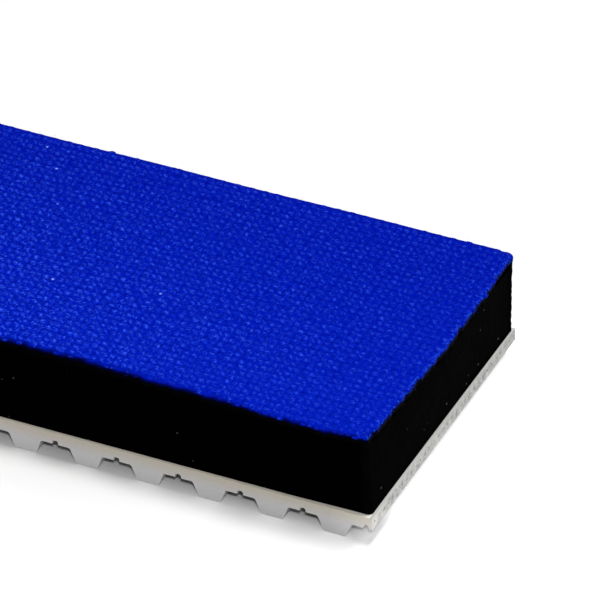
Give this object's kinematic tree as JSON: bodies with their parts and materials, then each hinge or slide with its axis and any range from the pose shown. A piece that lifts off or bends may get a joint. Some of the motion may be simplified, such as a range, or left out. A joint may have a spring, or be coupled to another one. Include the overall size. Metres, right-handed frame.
{
  "type": "coated timing belt",
  "caption": "Square-cut length of toothed polyurethane timing belt with steel tension cords, a thick cellular rubber backing and a woven fabric cover, for driving and carrying goods.",
  "frame": {"origin": "middle of the belt's length and width, on the plane of the tooth tips", "axes": "+X along the belt towards the front cut end, +Y across it, +Z from the teeth to the cover"},
  "size_m": [0.12, 0.05, 0.0184],
  "materials": {
    "polyurethane": "satin, slightly cloudy",
    "cord_steel": "stranded wire, cut ends",
    "bond_film": "matt",
    "cellular_rubber": "matt, cut, with fine pores",
    "woven_cover": "woven, with cut edges"
  },
  "bodies": {
    "root": {"belt_body": "polyurethane", "tension_cord_01_s": "cord_steel", "tension_cord_02_z": "cord_steel", "tension_cord_03_s": "cord_steel", "tension_cord_04_z": "cord_steel", "tension_cord_05_s": "cord_steel", "tension_cord_06_z": "cord_steel", "tension_cord_07_s": "cord_steel", "tension_cord_08_z": "cord_steel", "tension_cord_09_s": "cord_steel", "tension_cord_10_z": "cord_steel", "tension_cord_11_s": "cord_steel", "tension_cord_12_z": "cord_steel", "tension_cord_13_s": "cord_steel", "tension_cord_14_z": "cord_steel", "tension_cord_15_s": "cord_steel", "tension_cord_16_z": "cord_steel", "tension_cord_17_s": "cord_steel", "tension_cord_18_z": "cord_steel", "tension_cord_19_s": "cord_steel", "tension_cord_20_z": "cord_steel", "tension_cord_21_s": "cord_steel", "tension_cord_22_z": "cord_steel", "tension_cord_23_s": "cord_steel", "tension_cord_24_z": "cord_steel", "tension_cord_25_s": "cord_steel", "tension_cord_26_z": "cord_steel", "tension_cord_27_s": "cord_steel", "tension_cord_28_z": "cord_steel", "tension_cord_29_s": "cord_steel", "tension_cord_30_z": "cord_steel", "tension_cord_31_s": "cord_steel", "tension_cord_32_z": "cord_steel", "belt_bond_film": "bond_film", "foam_layer": "cellular_rubber", "cover_bond_film": "bond_film", "fabric_cover": "woven_cover"}
  },
  "joints": []
}
